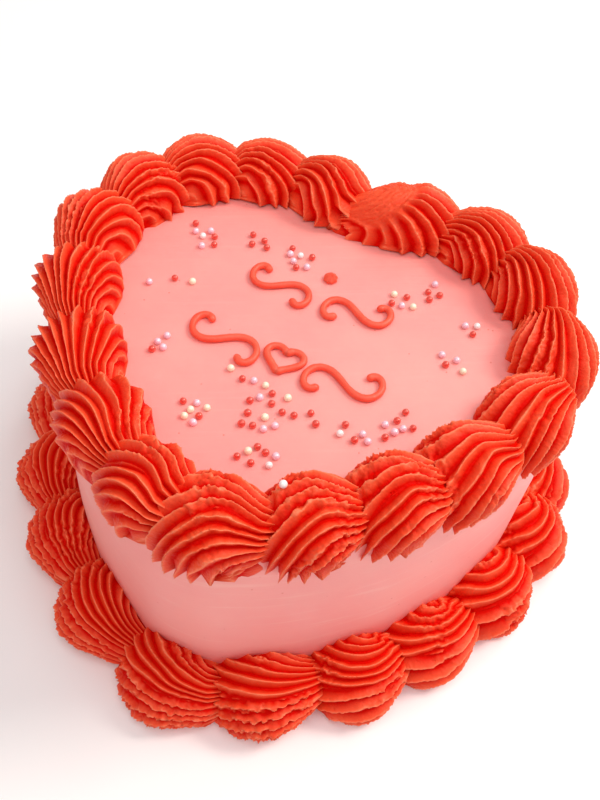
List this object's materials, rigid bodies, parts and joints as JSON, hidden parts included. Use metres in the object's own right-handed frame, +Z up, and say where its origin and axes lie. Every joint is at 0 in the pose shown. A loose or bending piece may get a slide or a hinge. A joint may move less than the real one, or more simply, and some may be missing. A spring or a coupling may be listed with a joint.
{
  "type": "heart-shaped retro cake",
  "caption": "Uncut heart-shaped layer cake with smooth pink icing, piped red shell borders round the top and base, piped scrolls and scattered sugar pearls.",
  "frame": {"origin": "on the flat base, on the heart's middle line, half way between the tip and the tops of the lobes", "axes": "+Z up; -Y towards the tip of the heart; +Y towards the cleft; +X to the right when seen from above with the cleft at the top"},
  "size_m": [0.2624, 0.2432, 0.1267],
  "materials": {
    "icing": "smooth salmon pink buttercream with sugar pearls in red, pink, white and ivory",
    "piping": "coral red whipped buttercream piped through a star nozzle, satin",
    "piping_thin": "coral red icing piped through a small round nozzle, satin"
  },
  "bodies": {
    "root": {"cake_body": "icing", "top_shell_00": "piping", "top_shell_01": "piping", "top_shell_02": "piping", "top_shell_03": "piping", "top_shell_04": "piping", "top_shell_05": "piping", "top_shell_06": "piping", "top_shell_07": "piping", "top_shell_08": "piping", "top_shell_09": "piping", "top_shell_10": "piping", "top_shell_11": "piping", "top_shell_12": "piping", "top_shell_13": "piping", "top_shell_14": "piping", "top_shell_15": "piping", "top_shell_16": "piping", "top_shell_17": "piping", "base_shell_00": "piping", "base_shell_01": "piping", "base_shell_02": "piping", "base_shell_03": "piping", "base_shell_04": "piping", "base_shell_05": "piping", "base_shell_06": "piping", "base_shell_07": "piping", "base_shell_08": "piping", "base_shell_09": "piping", "base_shell_10": "piping", "base_shell_11": "piping", "base_shell_12": "piping", "base_shell_13": "piping", "base_shell_14": "piping", "base_shell_15": "piping", "base_shell_16": "piping", "base_shell_17": "piping", "base_shell_18": "piping", "scroll_upper_left": "piping_thin", "scroll_upper_right": "piping_thin", "scroll_lower_left": "piping_thin", "scroll_lower_right": "piping_thin", "piped_heart": "piping_thin", "piped_drop": "piping_thin"}
  },
  "joints": []
}
